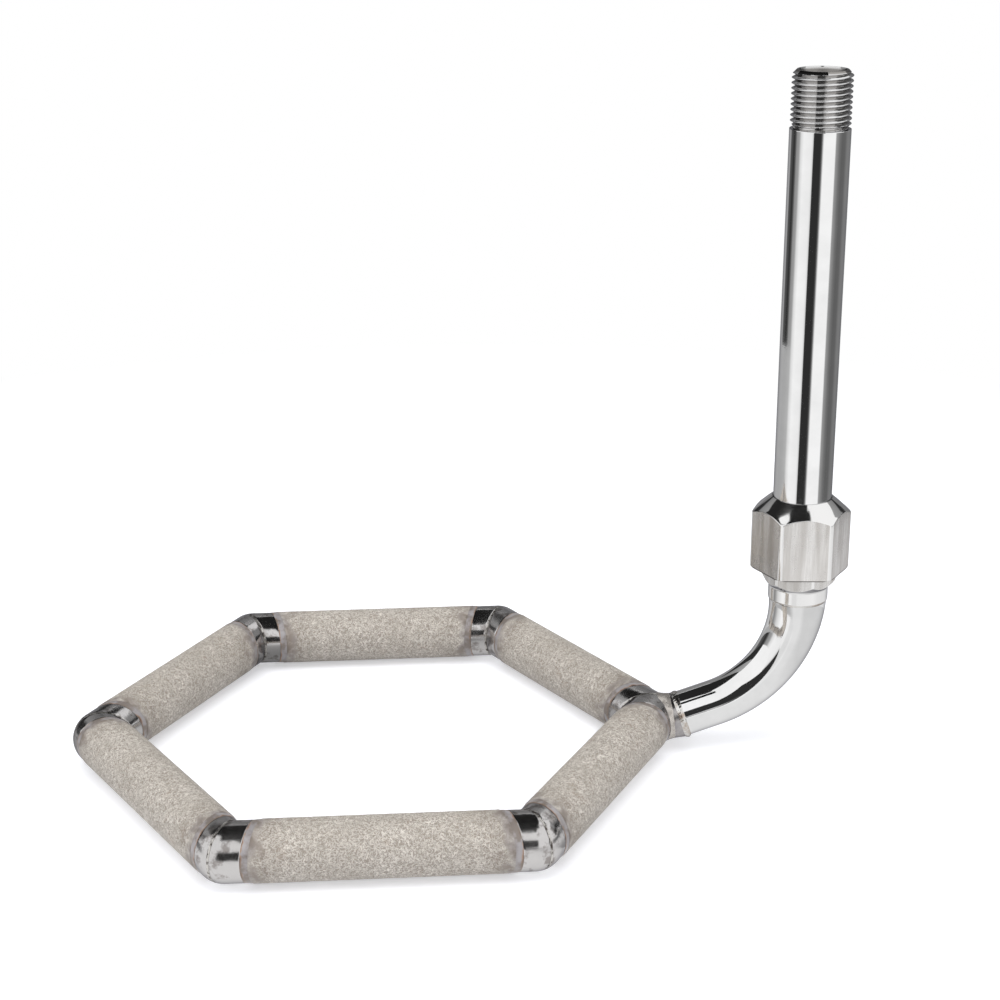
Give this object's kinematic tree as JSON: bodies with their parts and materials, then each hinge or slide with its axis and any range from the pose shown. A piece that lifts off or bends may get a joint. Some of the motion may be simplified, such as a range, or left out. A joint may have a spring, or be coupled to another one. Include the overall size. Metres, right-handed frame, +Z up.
{
  "type": "sintered sparger",
  "caption": "Flat hexagonal ring of porous sintered tubes that bubbles gas into liquid, fed through a bend, a hexagon union and an upright threaded pipe.",
  "frame": {"origin": "on the floor, under the middle of the part's bounding box", "axes": "+Z up along the inlet pipe, +X from the ring's centre to the corner that carries the branch, +Y level across the ring"},
  "size_m": [0.2892, 0.1998, 0.2525],
  "materials": {
    "sintered": "matt, granular sintered stainless steel",
    "corner": "ground and polished stainless steel with fine scratches",
    "seam": "ground weld, dark and slightly pitted",
    "tinted_weld": "satin weld with grey to brown heat tint",
    "bead": "bright rippled weld bead",
    "branch": "polished, with dark heat tint",
    "pipe": "mirror-polished stainless steel",
    "nut": "brushed flats, polished turned faces"
  },
  "bodies": {
    "root": {"adapter_weld": "bead", "branch_stub": "branch", "branch_weld": "bead", "corner_stub_1a": "corner", "corner_stub_1b": "corner", "corner_stub_2a": "corner", "corner_stub_2b": "corner", "corner_stub_3a": "corner", "corner_stub_3b": "corner", "corner_stub_4a": "corner", "corner_stub_4b": "corner", "corner_stub_5a": "corner", "corner_stub_5b": "corner", "corner_stub_6a": "corner", "corner_stub_6b": "corner", "hex_coupling": "nut", "inlet_bend": "pipe", "mitre_weld_1": "seam", "mitre_weld_2": "seam", "mitre_weld_3": "seam", "mitre_weld_4": "seam", "mitre_weld_5": "seam", "mitre_weld_6": "seam", "porous_tube_1": "sintered", "porous_tube_2": "sintered", "porous_tube_3": "sintered", "porous_tube_4": "sintered", "porous_tube_5": "sintered", "porous_tube_6": "sintered", "riser_pipe": "pipe", "saddle_weld": "seam", "tube_weld_1a": "tinted_weld", "tube_weld_1b": "tinted_weld", "tube_weld_2a": "tinted_weld", "tube_weld_2b": "tinted_weld", "tube_weld_3a": "tinted_weld", "tube_weld_3b": "tinted_weld", "tube_weld_4a": "tinted_weld", "tube_weld_4b": "tinted_weld", "tube_weld_5a": "tinted_weld", "tube_weld_5b": "tinted_weld", "tube_weld_6a": "tinted_weld", "tube_weld_6b": "tinted_weld", "weld_adapter": "nut"}
  },
  "joints": []
}
